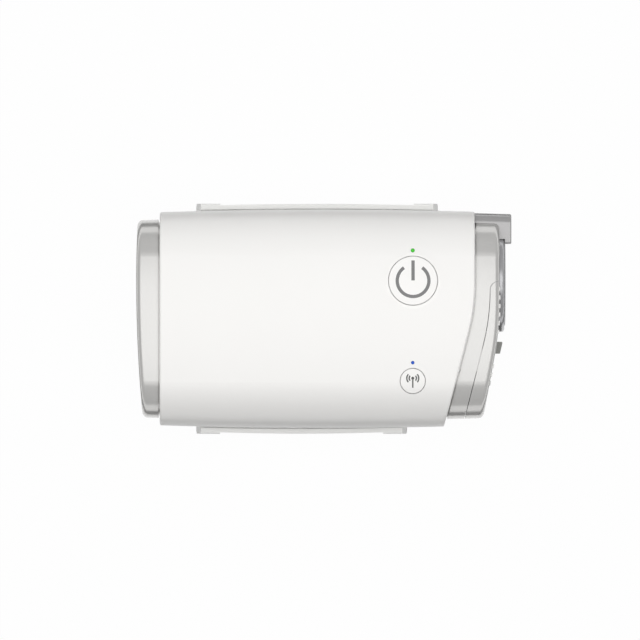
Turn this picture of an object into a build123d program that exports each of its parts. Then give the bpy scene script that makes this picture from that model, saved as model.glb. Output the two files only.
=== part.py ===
from build123d import *
import math
import os

os.makedirs("parts", exist_ok=True)

# A travel CPAP machine, in millimetres. X runs along the body towards the air outlet,
# Y runs across it, and Z is up. The origin is on the surface that it stands on.

# body section: tangent arcs over the top, the sides and the corners; it narrows towards both ends
body_half_width = 39.4
body_half_height = 25.1
body_axis_z = 26.9
body_top_radius = 155.0
body_side_radius = 66.0
body_corner_radius = 19.0
crown_radius = 1900.0
crown_centre_x = 0.0

# outer sleeve
sleeve_wall = 2.2
sleeve_left_x = -59.15
sleeve_right_x = 54.4
sleeve_edge_radius = 0.6
sleeve_cut_bend = (12.5, 68.0, 14.3)   # Y where the slanted end starts, radius, degrees
sleeve_cut_run = (3000.0, 0.5)         # radius, degrees

# end caps
cap_clearance = 0.45
cap_wall = 1.8
cap_edge_radius = 2.0
cap_skirt = 5.0
groove_width = 0.5
groove_depth = 0.9
closed_cap_end_x = -67.6
closed_cap_crown = (530.0, 13.8)       # radius of the end face, Y of its highest point
outlet_cap_end_x = 63.3
outlet_cap_bend = (6.0, 110.0, 10.5)   # Y where the end face starts to turn, radius, degrees

# outlet collar and its turret
outlet_y = 13.5
outlet_z = body_axis_z
outlet_bore_radius = 11.0
collar_radius = 18.3
collar_back_x = 59.8
collar_front_x = 65.1
collar_edge_radius = 1.0
collar_tube_wall = 1.2
collar_tube_back_x = 47.8
collar_gap = 0.3
turret_depth = 4.0
seal_inner_radius = 13.4
seal_outer_radius = 16.4
seal_depth = 1.6
seal_proud = 0.3
seal_crown = 1.2

# filter cover
cover_parting_x = 59.75
cover_parting_bend = (80.0, 13.8)     # radius, degrees
cover_parting_run = (3000.0, 0.5)
cover_top_y = 13.6
cover_corner_radius = 3.2
cover_gap = 0.22
bulkhead_wall = 2.0
window_side_y = (-25.5, -7.5)
window_rise = (1.2, 13.0)              # above and below the body's axis
rib_pitch = 3.1
rib_width = 1.5
rib_proud = 0.35
rib_half_span = 20.4
grille_half_span = 17.5
grille_rib_count = 11
grille_first_y = -23.3
filter_thickness = 2.2
filter_side_y = (-30.0, -7.5)
filter_margin = 0.3
filter_gap = 0.1

# filter cover: grille, tongues and pull tab
rib_margin = 1.2
rib_collar_gap = 1.0
slot_clear = 3.0
slot_first_gap = 0.8
tongue_thickness = 1.2
tongue_rise = 18.4
tongue_y = (-19.0, -11.0)
tongue_reach = 4.0
tongue_gap = 0.2
tongue_sleeve_gap = 3.0
tab_top_y = -8.3
tab_width = 4.3
tab_reach_x = 64.5
tab_half_height = 8.0
tab_taper = 1.0
tab_root = 0.6
tab_edge_radius = 0.4
tab_clear = 0.8

# power inlet
yoke_sleeve_gap = 0.12
yoke_front_x = 67.6
yoke_side_y = 38.15
yoke_side_draft = 0.4
yoke_top_z = 37.3
yoke_bottom_z = 9.4
yoke_corner_radius = 3.5
yoke_edge_radius = 0.5
yoke_inner_y = 27.0
yoke_lip_overlap = 2.0
yoke_lip_radius = 0.9
yoke_lip_start = 3.0
yoke_running_gap = 0.2
jack_y = 34.2
jack_z = 13.4
jack_bore_radius = 2.5
jack_body_radius = 3.2
jack_depth = 9.0
jack_back_wall = 2.0
jack_pin_radius = 0.85
jack_pin_root_radius = 1.2
jack_pin_tail = 1.0
jack_pin_inset = 1.0
jack_pin_round = 0.34
jack_fit = 0.05
jack_recess = 0.2

# foot rails
rail_left_x = -46.2
rail_end_setback = 13.1
rail_reach_y = 41.05
rail_pad_proud = 0.56
rail_pad_length = 8.7
rail_inner_y = 29.0
rail_height = 10.5
rail_end_slope = 1.8
rail_top_radius = 0.6
rail_groove_y = (38.5, 39.35)          # at the rail's ends
rail_groove_depth = 2.2
rail_foot_chamfer = 1.2
rail_crown = 0.5
rail_bow_lap = 1.0
rail_peg_radius = 1.8
rail_peg_clearance = 0.05
rail_peg_y = 33.0

# buttons and lights
power_button_at = (32.1, 13.7)
power_button_radius = 8.8
wireless_button_at = (32.0, -22.4)
wireless_button_radius = 4.5
button_gap = 0.18
button_sink = 0.1
button_travel = 0.5
button_flange = 0.8
button_flange_gap = 0.25
button_skirt = 1.4
button_edge_radius = 0.3
button_board_gap = 1.2
button_post = 0.7
dish_radius = 10.0
dish_depth = 0.25
power_light_at = (32.0, 24.6)
power_light_radius = 0.7
wireless_light_at = (32.0, -15.8)
wireless_light_radius = 0.6
light_clearance = 0.05

# main circuit board
board_x = (12.0, 42.0)
board_half_width = 28.0
board_top_z = 43.0
board_thickness = 1.6
board_screw_y = 26.0
board_screw_length = 5.0
board_boss_depth = 5.5
switch_height = 2.0
switch_side = (6.0, 4.0)
switch_corner = 0.4
plunger_radius = 1.2
plunger_clearance = 0.1
plunger_grip = 1.2
plunger_floor_gap = 0.1
plunger_slack = 0.2
led_size = (1.6, 1.0, 0.6)
board_corner_radius = 1.5
screw_hole_clearance = 0.1
# board parts: X range, Y range, height
radio_board = ((15.0, 26.5), (-23.5, -5.5), 0.8)
radio_can = ((15.5, 26.0), (-19.5, -6.0), 2.2)
radio_can_radius = 0.6
sensor_body = ((17.0, 22.0), (2.0, 8.0), 2.4)
sensor_port = (1.0, 4.2)               # radius, height
connector_bodies = (((12.6, 16.4), (8.5, 16.0), 3.0), ((22.0, 27.5), (22.5, 26.5), 2.6))
connector_radius = 0.3
capacitor_places = ((15.0, 19.5), (20.4, 19.5))
capacitor_size = (2.4, 4.6)            # radius, height

# chassis cradle
cradle_clearance = 0.15
cradle_wall = 2.4
cradle_low_z = 12.0
cradle_left_x = -53.4
cradle_skirt_gap = 0.4
frame_thickness = 2.0
frame_x = (13.0, 38.0)
frame_window_y = (-25.5, -2.5)
frame_window_top_z = 37.0
plate_window = (14.0, 14.0, 42.0)      # half width, lowest and highest Z
chassis_screw_y = 22.0
chassis_screw_rise = 14.0
cap_screw_y = -29.5
cap_screw_rise = 6.0
cap_screw_seat = 3.0
boss_radius = 2.8
frame_boss_depth = 4.0

# small screws
screw_radius = 1.1
screw_head_radius = 2.0
screw_head_height = 1.5
screw_length = 7.0
screw_drive = 1.3
screw_drive_depth = 0.75
screw_head_round = 0.45
screw_head_gap = 0.2

# blower
blower_x = -16.0
blower_y = -5.5
volute_radius = 24.6
volute_step = 1.4
volute_wall = 1.6
blower_outlet_radius = 8.6
spigot_length = 8.0
volute_floor = 2.0
volute_exit_reach = 1.0
inlet_radius = 12.5
inlet_lip = 1.2
inlet_lip_height = 2.4
ear_radius = 4.0
ear_height = 3.0
ear_places = ((-26.0, -20.0), (-26.5, 20.5), (24.0, -20.0))
isolator_height = 4.0
isolator_waist = 2.8
impeller_radius = 22.3
impeller_height = 12.0
impeller_plate = 1.2
impeller_clearance = 1.0
impeller_hub_radius = 6.0
impeller_hub_height = 9.6
hub_flare = (3.0, 2.8)                 # radius and height of the hub's foot
hub_taper = 2.0
blade_count = 11
blade_thickness = 1.0
blade_inner_radius = 10.5
blade_lean = 48.0
blade_bow = 0.38                       # share of the lean that is reached half way out
blade_rim_inset = 0.4

# motor
shaft_radius = 1.5
shaft_clearance = 0.03
shaft_proud = 0.6
shaft_chamfer = 0.3
bearing_outer_radius = 4.0
bearing_width = 3.0
bearing_tube_wall = 1.6
bearing_seat = 0.4
rotor_cup_radius = 16.0
rotor_cup_wall = 1.0
rotor_cup_height = 6.9
magnet_thickness = 1.6
air_gap = 0.4
rotor_floor_gap = 0.4
stator_teeth = 9
stator_tooth_width = 3.0
stator_height = 3.6
stator_hub_wall = 1.6
stator_shoe = 1.0
stator_shoe_gap = 1.2
winding_thickness = 0.7
winding_end_gap = (0.4, 0.2)           # to the hub, to the shoe

# air duct and foam
duct_wall = 1.2
duct_fit = 0.1
duct_overlap = 6.0
duct_start_gap = 1.0
duct_throat = 4.0
duct_shoulder = 0.6
foam_gap = 0.3
foam_top_z = 38.8
foam_side_y = (-30.0, 0.4)

# worked-out values
cap_inset = sleeve_wall + cap_clearance
yoke_back_x = sleeve_right_x + yoke_sleeve_gap
yoke_lip_back_x = collar_front_x + yoke_running_gap
board_bottom_z = board_top_z - board_thickness
cradle_inset = sleeve_wall + cradle_clearance
board_screw_x = [x + frame_thickness / 2 for x in frame_x]
chamber_bottom_z = outlet_z - blower_outlet_radius
chamber_top_z = outlet_z + blower_outlet_radius
housing_bottom_z = chamber_bottom_z - volute_floor
housing_top_z = chamber_top_z + volute_wall
volute_exit_x = blower_x + volute_radius + volute_wall + volute_exit_reach
rotor_top_z = housing_bottom_z - rotor_floor_gap
rotor_bottom_z = rotor_top_z - rotor_cup_height
impeller_bottom_z = chamber_bottom_z + impeller_clearance
hub_top_z = impeller_bottom_z + impeller_hub_height
bearing_tube_radius = bearing_outer_radius + bearing_tube_wall
bearing_tube_bottom_z = rotor_bottom_z + rotor_cup_wall + air_gap
collar_tube_radius = outlet_bore_radius + collar_tube_wall
plunger_proud = button_travel + plunger_slack
plunger_hole_radius = plunger_radius + plunger_clearance
blank_reach = 75.0
far = 90.0


# shared shapes

def block(xs, ys, zs):
    size = [high - low for low, high in (xs, ys, zs)]
    return Pos(xs[0], ys[0], zs[0]) * Box(*size, align=(Align.MIN, Align.MIN, Align.MIN))


def rod(place, radius, length, axis="Z"):
    turn = {"X": (0, 90, 0), "Y": (-90, 0, 0), "Z": (0, 0, 0)}[axis]
    upright = Cylinder(radius, length, align=(Align.CENTER, Align.CENTER, Align.MIN))
    return Location(place, turn) * upright


def turned_x(points, y, z):
    # points are (X, radius)
    profile = make_face(Polyline(*points, close=True))
    return Pos(0, y, z) * revolve(profile, Axis.X)


def turned_z(points, x, y):
    # points are (radius, Z)
    profile = Plane.XZ * make_face(Polyline(*points, close=True))
    return Pos(x, y, 0) * revolve(profile, Axis.Z)


def prism(face):
    return extrude(Pos(0, 0, -far / 2) * face, 2 * far, dir=(0, 0, 1))


def corner_centre():
    # where the corner arc is tangent to both the top arc and the side arc
    top = Vector(0, body_half_height - body_top_radius)
    side = Vector(body_half_width - body_side_radius, 0)
    from_top = body_top_radius - body_corner_radius
    from_side = body_side_radius - body_corner_radius
    apart = side - top
    along = (from_top ** 2 - from_side ** 2 + apart.length ** 2) / (2 * apart.length)
    across = math.sqrt(from_top ** 2 - along ** 2)
    ahead = apart.normalized()
    return top, side, top + ahead * along + Vector(ahead.Y, -ahead.X) * across


def body_section(x, inset):
    shrink = inset + (x - crown_centre_x) ** 2 / (2 * crown_radius)
    top, side, corner = corner_centre()
    high = math.degrees(math.atan2(corner.Y - top.Y, corner.X - top.X))
    low = math.degrees(math.atan2(corner.Y - side.Y, corner.X - side.X))
    quarter = CenterArc((corner.X, corner.Y), body_corner_radius - shrink, low, high - low)
    over = CenterArc((top.X, top.Y), body_top_radius - shrink, high, 180 - 2 * high)
    flank = CenterArc((side.X, side.Y), body_side_radius - shrink, -low, 2 * low)
    edges = [flank, quarter, over, mirror(quarter, Plane.YZ)]
    edges += [mirror(flank, Plane.YZ), quarter.rotate(Axis.Z, 180), mirror(over, Plane.XZ)]
    edges.append(mirror(quarter, Plane.XZ))
    return Plane(origin=(x, 0, body_axis_z), x_dir=(0, 1, 0), z_dir=(1, 0, 0)) * make_face(Curve() + edges)


def body_solid(left, right, inset):
    stations = (left, (left + right) / 2, right)
    return loft([body_section(x, inset) for x in stations])


def bent_path(x, bend, run):
    # a line down the plan that bends twice towards the closed end
    bend_y, bend_radius, bend_turn = bend
    run_radius, run_turn = run
    straight = Line((x, far), (x, bend_y))
    first = JernArc(straight @ 1, straight % 1, bend_radius, -bend_turn)
    second = JernArc(first @ 1, first % 1, run_radius, -run_turn)
    tail = Line(second @ 1, (second @ 1) + (second % 1) * 40)
    return [straight, first, second, tail]


def side_of(path, side_x):
    start = path[0] @ 0
    end = path[-1] @ 1
    closing = Polyline((end.X, end.Y), (side_x, end.Y), (side_x, start.Y), (start.X, start.Y))
    return make_face(Curve() + path + closing)


def sleeve_side(shift, side_x=-far):
    return side_of(bent_path(sleeve_right_x + shift, sleeve_cut_bend, sleeve_cut_run), side_x)


def end_profile(inward=0.0):
    # plan of both end faces
    bend_y, bend_radius, bend_turn = outlet_cap_bend
    x = outlet_cap_end_x - inward
    straight = Line((x, far), (x, bend_y))
    bend = JernArc(straight @ 1, straight % 1, bend_radius - inward, -bend_turn)
    slope = Line(bend @ 1, (bend @ 1) + (bend % 1) * 60)
    crown, crown_y = closed_cap_crown
    left = closed_cap_end_x + inward
    reach = 55.0
    rise = crown - math.sqrt(crown ** 2 - reach ** 2)
    end_y = (slope @ 1).Y
    face = ThreePointArc((left + rise, crown_y - reach), (left, crown_y), (left + rise, crown_y + reach))
    low = Polyline(((slope @ 1).X, end_y), (left + rise, end_y), (left + rise, crown_y - reach))
    high = Polyline((left + rise, crown_y + reach), (left + rise, far), (x, far))
    return make_face(Curve() + [straight, bend, slope, low, face, high])


def cover_region(shrink=0.0):
    # plan of the filter cover, up to its parting line
    radius = cover_corner_radius
    bend_radius, bend_turn = cover_parting_bend
    run_radius, run_turn = cover_parting_run
    top = Line((far, cover_top_y), (cover_parting_x + radius, cover_top_y))
    corner = JernArc(top @ 1, top % 1, radius, 90)
    bend = JernArc(corner @ 1, corner % 1, bend_radius, -bend_turn)
    run = JernArc(bend @ 1, bend % 1, run_radius, -run_turn)
    tail = Line(run @ 1, (run @ 1) + (run % 1) * 40)
    end = tail @ 1
    closing = Polyline((end.X, end.Y), (far, end.Y), (far, cover_top_y))
    region = make_face(Curve() + [top, corner, bend, run, tail, closing])
    return offset(region, -shrink) if shrink else region


def sleeve_end_x(y):
    # X of the sleeve's slanted end at a given Y
    bend_y, bend_radius, bend_turn = sleeve_cut_bend
    run_radius = sleeve_cut_run[0]
    drop = bend_y - y
    if drop <= 0:
        return sleeve_right_x
    turn = math.radians(bend_turn)
    if drop <= bend_radius * math.sin(turn):
        return sleeve_right_x - bend_radius * (1 - math.cos(math.asin(drop / bend_radius)))
    rest = drop - bend_radius * math.sin(turn)
    final = math.asin(math.sin(turn) + rest / run_radius)
    bend_back = bend_radius * (1 - math.cos(turn))
    return sleeve_right_x - bend_back - run_radius * (math.cos(turn) - math.cos(final))


def outlet_rod(back_x, radius, length):
    return rod((back_x, outlet_y, outlet_z), radius, length, "X")


def end_fillet(solid, radius, middle=40.0):
    # rounds the edges at both ends of a body-shaped blank
    ends = solid.edges().filter_by(lambda edge: abs(edge.center().X) > middle)
    return fillet(ends, radius)


capped_body = body_solid(-blank_reach, blank_reach, cap_inset) & prism(end_profile())
capped_body = end_fillet(capped_body, cap_edge_radius)
capped_hollow = body_solid(-blank_reach, blank_reach, cap_inset + cap_wall) & prism(end_profile(cap_wall))
sleeve_hollow = body_solid(-blank_reach, blank_reach, sleeve_wall)
whole_body = body_solid(-blank_reach, blank_reach, 0)
screw_rises = (body_axis_z - chassis_screw_rise, body_axis_z + chassis_screw_rise)


def screw(place, axis, length=screw_length):
    # pan head at the place, shank along the axis (a unit vector)
    direction = Vector(*axis)
    below = (Align.CENTER, Align.CENTER, Align.MAX)
    head = Cylinder(screw_head_radius, screw_head_height, align=below)
    head = fillet(head.edges().sort_by(Axis.Z)[:1], screw_head_round)
    shank = Cylinder(screw_radius, length, align=(Align.CENTER, Align.CENTER, Align.MIN))
    drive = extrude(RegularPolygon(screw_drive, 6), screw_drive_depth)
    drive = Pos(0, 0, -screw_head_height) * drive
    return Plane(origin=place, z_dir=direction) * (head + shank - drive)


# casing

def make_outer_sleeve():
    blank = body_solid(sleeve_left_x, blank_reach, 0) & prism(sleeve_side(0))
    sleeve = end_fillet(blank, sleeve_edge_radius) - sleeve_hollow
    dish = rod((*power_button_at, body_axis_z), dish_radius, far) - body_solid(0, blank_reach, dish_depth)
    sleeve -= dish
    openings = (
        (power_button_at, power_button_radius + button_gap),
        (wireless_button_at, wireless_button_radius + button_gap),
        (power_light_at, power_light_radius + light_clearance),
        (wireless_light_at, wireless_light_radius + light_clearance),
    )
    for place, radius in openings:
        sleeve -= rod((*place, body_axis_z), radius, far)
    for side in (-1, 1):
        for x in rail_peg_places(side):
            sleeve -= rod((x, side * rail_peg_y, -1), rail_peg_radius + rail_peg_clearance, body_axis_z)
    return sleeve


def make_closed_end_cap():
    inner_x = sleeve_left_x + cap_skirt
    cap = (capped_body - capped_hollow) & block((-far, inner_x), (-far, far), (0, far))
    band = block((sleeve_left_x - groove_width, sleeve_left_x), (-far, far), (0, far))
    cap -= band - body_solid(-blank_reach, 0, cap_inset + groove_depth)
    back_x = closed_cap_end_x + cap_wall
    for side in (-1, 1):
        for rise in screw_rises:
            y = side * chassis_screw_y
            cap += rod((back_x - 1, y, rise), boss_radius, cradle_left_x - back_x + 1, "X") & capped_body
    for side in (-1, 1):
        for rise in screw_rises:
            pilot_x = cradle_left_x - screw_length
            cap -= rod((pilot_x, side * chassis_screw_y, rise), screw_radius, screw_length + 1, "X")
    return cap


def cap_screw_rises():
    return (body_axis_z - cap_screw_rise, body_axis_z + cap_screw_rise)


def make_outlet_end_cap():
    behind_cover = prism(cover_region())
    cap = (capped_body - capped_hollow) & prism(sleeve_side(-cap_skirt, far))
    band = prism(sleeve_side(0, far) & sleeve_side(groove_width))
    cap -= band - body_solid(0, blank_reach, cap_inset + groove_depth)
    cap -= behind_cover
    # wall behind the filter cover
    cap += capped_body & prism(offset(cover_region(), bulkhead_wall) - cover_region())
    # turret that carries the collar
    turret_x = collar_back_x - turret_depth
    rim_radius = collar_radius + collar_gap + cap_wall
    rim = outlet_rod(turret_x, rim_radius, outlet_cap_end_x - turret_x - cap_wall / 2) - behind_cover
    cap += rim & capped_body
    cap += outlet_rod(turret_x, collar_radius, turret_depth)
    cap -= outlet_rod(collar_back_x, collar_radius + collar_gap, far)
    cap -= outlet_rod(turret_x - 20, collar_tube_radius + duct_fit, far)
    # air windows behind the filter
    low, high = window_rise
    for rise in ((-high, -low), (low, high)):
        cap -= block((0, collar_back_x), window_side_y, [body_axis_z + edge for edge in rise])
    # slots for the cover's two tongues
    for side in (-1, 1):
        cap -= tongue(side, tongue_gap)
    # screw bosses
    boss_x = frame_x[1] + frame_thickness
    allowed = capped_body - behind_cover
    for rise in cap_screw_rises():
        cap += rod((boss_x, cap_screw_y, rise), boss_radius, far, "X") & allowed
    head_radius = screw_head_radius + screw_head_gap
    for rise in cap_screw_rises():
        cap -= rod((boss_x - 1, cap_screw_y, rise), screw_radius, cap_screw_seat + 2, "X")
        cap -= rod((boss_x + cap_screw_seat, cap_screw_y, rise), head_radius, far, "X")
    cap -= rod((0, jack_y, jack_z), jack_body_radius + jack_fit, far, "X")
    return cap


def make_outlet_collar():
    tube_inner = outlet_bore_radius
    face_x = collar_front_x
    seat_x = face_x - seal_depth
    ring = turned_x([
        (collar_tube_back_x, tube_inner),
        (collar_tube_back_x, collar_tube_radius),
        (collar_back_x, collar_tube_radius),
        (collar_back_x, collar_radius),
        (face_x, collar_radius),
        (face_x, seal_outer_radius),
        (seat_x, seal_outer_radius),
        (seat_x, seal_inner_radius),
        (face_x, seal_inner_radius),
        (face_x, tube_inner),
    ], outlet_y, outlet_z)
    rims = ring.edges().filter_by(GeomType.CIRCLE).filter_by(
        lambda edge: abs(edge.center().X - face_x) < 0.01 and edge.radius > collar_radius - 0.01)
    return fillet(rims, collar_edge_radius)


def make_outlet_seal():
    seat_x = collar_front_x - seal_depth
    front_x = collar_front_x + seal_proud
    middle = (seal_inner_radius + seal_outer_radius) / 2
    return turned_x([
        (seat_x, seal_inner_radius), (seat_x, seal_outer_radius),
        (collar_front_x, seal_outer_radius), (front_x, middle + seal_crown / 2),
        (front_x, middle - seal_crown / 2), (collar_front_x, seal_inner_radius),
    ], outlet_y, outlet_z)


# filter cover

def tongue(side, gap=0.0):
    # one of the cover's two guide tongues, or its slot when gap is given
    low_y, high_y = tongue_y
    middle = body_axis_z + side * (tongue_rise + tongue_thickness / 2)
    half = tongue_thickness / 2 + gap
    back_x = cover_parting_x - cover_gap - 3 * tongue_reach - gap
    front_x = outlet_cap_end_x - cap_wall
    slab = block((back_x, front_x), (low_y - gap, high_y + gap), (middle - half, middle + half))
    return slab & prism(end_profile(cap_wall / 2))


def tab_plan():
    root_x = outlet_cap_end_x - cap_wall - tab_root
    low_y = tab_top_y - tab_width
    return make_face(Polyline(
        (root_x, tab_top_y), (tab_reach_x, tab_top_y), (tab_reach_x - tab_taper, low_y),
        (root_x, low_y), close=True))


def make_filter_cover():
    region = prism(cover_region(cover_gap))
    opening = outlet_rod(0, collar_radius + collar_gap, far)
    cover = ((capped_body & region) - capped_hollow) - opening
    slabs = []
    slots = []
    half = rib_width / 2
    tab_low = tab_top_y - tab_width
    for index in range(grille_rib_count + 1):
        y = grille_first_y + index * rib_pitch
        rise = (body_axis_z - rib_half_span, body_axis_z + rib_half_span)
        beside_tab = y + half < tab_low - tab_clear or y - half > tab_top_y + tab_clear
        if beside_tab:
            slabs.append(block((0, far), (y - half, y + half), rise))
        rise = (body_axis_z - grille_half_span, body_axis_z + grille_half_span)
        if y + rib_pitch < outlet_y - collar_radius - slot_first_gap:
            slots.append(block((0, far), (y + half, y + rib_pitch - half), rise))
    ribs = (Pos(rib_proud, 0, 0) * capped_body) & region
    ribs &= body_solid(0, blank_reach, cap_inset + rib_margin)
    ribs = ribs - capped_hollow - outlet_rod(0, collar_radius + collar_gap + rib_collar_gap, far)
    cover += ribs & Compound(slabs)
    around_tab = block(
        (0, far), (tab_low - tab_clear, tab_top_y + tab_clear),
        (body_axis_z - tab_half_height - tab_clear, body_axis_z + tab_half_height + tab_clear))
    cut = (Compound(slots) - around_tab) & body_solid(0, blank_reach, cap_inset + slot_clear)
    cover -= cut
    tab_block = extrude(Pos(0, 0, body_axis_z - tab_half_height) * tab_plan(), 2 * tab_half_height)
    cover -= tab_block
    for side in (-1, 1):
        cover += tongue(side) & prism(sleeve_side(tongue_sleeve_gap, far))
    return cover


def make_cover_tab():
    tab = extrude(Pos(0, 0, body_axis_z - tab_half_height) * tab_plan(), 2 * tab_half_height)
    outer = tab.edges().filter_by(lambda edge: edge.center().X > outlet_cap_end_x + 0.2)
    return fillet(outer, tab_edge_radius)


def make_air_filter():
    front = end_profile(cap_wall + filter_gap)
    back = end_profile(cap_wall + filter_gap + filter_thickness)
    half = grille_half_span + filter_margin
    pad = prism(front - back) & block((0, far), filter_side_y, (body_axis_z - half, body_axis_z + half))
    pad &= prism(cover_region(cover_gap + filter_gap))
    return pad & body_solid(0, blank_reach, cap_inset + cap_wall + filter_margin)


# power inlet

def jack_back_x():
    return yoke_front_x - jack_recess - jack_depth - jack_back_wall


def make_power_inlet_yoke():
    plan = make_face(Polyline(
        (yoke_back_x, outlet_y), (yoke_front_x, outlet_y), (yoke_front_x, yoke_side_y - yoke_side_draft),
        (yoke_back_x, yoke_side_y), close=True))
    bar = extrude(Pos(0, 0, yoke_bottom_z) * plan, yoke_top_z - yoke_bottom_z)
    side = bar.faces().sort_by(Axis.Y)[-1]
    long_edges = [edge for edge in side.edges() if abs(edge.tangent_at(0.5).X) > 0.9]
    bar = fillet(long_edges, yoke_corner_radius)
    bar -= outlet_rod(0, collar_radius + yoke_running_gap, yoke_lip_back_x)
    bar -= outlet_rod(0, collar_radius - yoke_lip_overlap, far)
    # the lip over the collar ends in a rounded nose
    nose = bar.edges().filter_by(Axis.X).filter_by(
        lambda edge: abs(edge.center().Z - yoke_top_z) < 0.01 and edge.center().X > yoke_lip_back_x)
    bar = fillet(nose.filter_by(lambda edge: edge.center().Y < yoke_inner_y), yoke_lip_radius)
    front = bar.faces().sort_by(Axis.X)[-1]
    bar = fillet(front.edges().filter_by(lambda edge: edge.center().Y > outlet_y + 0.01), yoke_edge_radius)
    bar -= block((0, far), (0, yoke_inner_y), (0, outlet_z))
    bar -= block((0, far), (0, outlet_y + yoke_lip_start), (0, far))
    bar -= capped_body
    return bar - rod((0, jack_y, jack_z), jack_body_radius + jack_fit, far, "X")


def make_power_inlet_jack():
    front_x = yoke_front_x - jack_recess
    body = rod((jack_back_x(), jack_y, jack_z), jack_body_radius, front_x - jack_back_x(), "X")
    body -= rod((front_x - jack_depth, jack_y, jack_z), jack_bore_radius, jack_depth + 1, "X")
    hole_x = jack_back_x() - 1
    return body - rod((hole_x, jack_y, jack_z), jack_pin_root_radius, jack_depth, "X")


def make_power_inlet_pin():
    tip_x = yoke_front_x - jack_recess - jack_pin_inset
    tail_x = jack_back_x() - jack_pin_tail
    pin = rod((tail_x, jack_y, jack_z), jack_pin_radius, tip_x - tail_x, "X")
    pin = fillet(pin.edges().sort_by(Axis.X)[-1:], jack_pin_round)
    return pin + rod((tail_x, jack_y, jack_z), jack_pin_root_radius, jack_pin_tail + jack_back_wall, "X")


# foot rails

def rail_right_x(side):
    return sleeve_end_x(side * (rail_reach_y - sleeve_wall)) - rail_end_setback


def rail_peg_places(side):
    inset = rail_pad_length
    return (rail_left_x + inset, rail_right_x(side) - inset)


def make_foot_rail(side):
    left = rail_left_x
    right = rail_right_x(side)
    middle = (left + right) / 2
    outer = rail_reach_y + rail_pad_proud
    # seen from above: two pads with a crowned run between them
    low_y = rail_inner_y
    pads = Pos(left, low_y) * Rectangle(rail_pad_length, outer - low_y, align=Align.MIN)
    pads += Pos(right - rail_pad_length, low_y) * Rectangle(rail_pad_length, outer - low_y, align=Align.MIN)
    bow = ThreePointArc(
        (left + rail_pad_length - rail_bow_lap, rail_reach_y), (middle, rail_reach_y + rail_crown),
        (right - rail_pad_length + rail_bow_lap, rail_reach_y))
    base = Polyline(bow @ 1, ((bow @ 1).X, low_y), ((bow @ 0).X, low_y), bow @ 0)
    plan = pads + make_face(bow + base)
    rail = extrude(plan, rail_height, dir=(0, 0, 1))
    # seen from the end: a chamfered foot and a rounded shoulder
    end_view = make_face(Polyline(
        (low_y, 0), (outer - rail_foot_chamfer, 0), (outer, rail_foot_chamfer),
        (outer, rail_height), (low_y, rail_height), close=True))
    shoulder = end_view.vertices().filter_by(lambda v: v.X > outer - 0.1 and v.Y > rail_height - 0.1)
    end_view = fillet(shoulder, rail_top_radius)
    rail &= Pos(left - 1, 0, 0) * extrude(Plane.YZ * end_view, right - left + 2)
    # seen from the side: both ends lean inwards
    side_view = make_face(Polyline(
        (left, 0), (right, 0), (right - rail_end_slope, rail_height),
        (left + rail_end_slope, rail_height), close=True))
    rail &= Pos(0, far, 0) * extrude(Plane.XZ * side_view, far)
    # a groove along the sleeve's side, which follows the crowned run
    inner, outer = [
        ThreePointArc((left, y), (middle, y + rail_crown), (right, y)) for y in rail_groove_y]
    ends = [Line(inner @ share, outer @ share) for share in (0, 1)]
    groove = make_face(Curve() + [inner, outer] + ends)
    rail -= extrude(Pos(0, 0, rail_height - rail_groove_depth) * groove, far)
    rail = (rail if side > 0 else mirror(rail, Plane.XZ)) - whole_body
    for x in rail_peg_places(side):
        rail += rod((x, side * rail_peg_y, 2), rail_peg_radius, body_axis_z - 2) - sleeve_hollow
    return rail


# buttons and lights

def plunger_top_z():
    return board_top_z + switch_height + plunger_proud


def make_button(place, radius):
    x, y = place
    bottom = board_top_z + button_board_gap
    well_top = plunger_top_z() + button_post
    cap = rod((x, y, bottom), radius, far) & body_solid(0, blank_reach, button_sink)
    rims = cap.edges().filter_by(lambda edge: edge.center().Z > well_top and edge.length > radius)
    cap = fillet(rims, button_edge_radius)
    flange_inset = sleeve_wall + button_flange_gap
    cap += rod((x, y, bottom), radius + button_flange, far) & body_solid(0, blank_reach, flange_inset)
    cap -= rod((x, y, bottom - 1), radius - button_skirt, well_top - bottom + 1)
    return cap + rod((x, y, plunger_top_z()), plunger_radius, button_post + 0.5)


def make_light_guide(place, radius):
    column = rod((*place, board_top_z + led_size[2]), radius, far)
    return column & body_solid(0, blank_reach, light_clearance)


def plunger_bottom_z():
    return board_top_z + switch_height - plunger_grip


def make_plunger(place):
    return rod((*place, plunger_bottom_z()), plunger_radius, plunger_top_z() - plunger_bottom_z())


# circuit board

switch_places = (power_button_at, wireless_button_at)
light_places = (power_light_at, wireless_light_at)


def make_circuit_board():
    low, high = board_x
    board = block((low, high), (-board_half_width, board_half_width), (board_bottom_z, board_top_z))
    board = fillet(board.edges().filter_by(Axis.Z), board_corner_radius)
    for x in board_screw_x:
        for side in (-1, 1):
            board -= rod((x, side * board_screw_y, 0), screw_radius + screw_hole_clearance, far)
    return board


def make_switch_housings():
    housings = []
    for place, side in zip(switch_places, switch_side):
        x, y = place
        half = side / 2
        body = block((x - half, x + half), (y - half, y + half), (board_top_z, board_top_z + switch_height))
        body = chamfer(body.edges().filter_by(Axis.Z), switch_corner)
        well = rod((x, y, plunger_bottom_z() - button_travel - plunger_floor_gap), plunger_hole_radius, far)
        housings.append(body - well)
    return Compound(housings)


def make_indicator_leds():
    leds = []
    for x, y in light_places:
        leds.append(Pos(x, y, board_top_z) * Box(*led_size, align=(Align.CENTER, Align.CENTER, Align.MIN)))
    return Compound(leds)


def on_board(xs, ys, height):
    return block(xs, ys, (board_top_z, board_top_z + height))


def make_radio_module():
    can = on_board(*radio_can)
    can = fillet(can.edges().filter_by(Axis.Z), radio_can_radius)
    return can + on_board(*radio_board)


def make_board_capacitors():
    return Compound([rod((*place, board_top_z), *capacitor_size) for place in capacitor_places])


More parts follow.
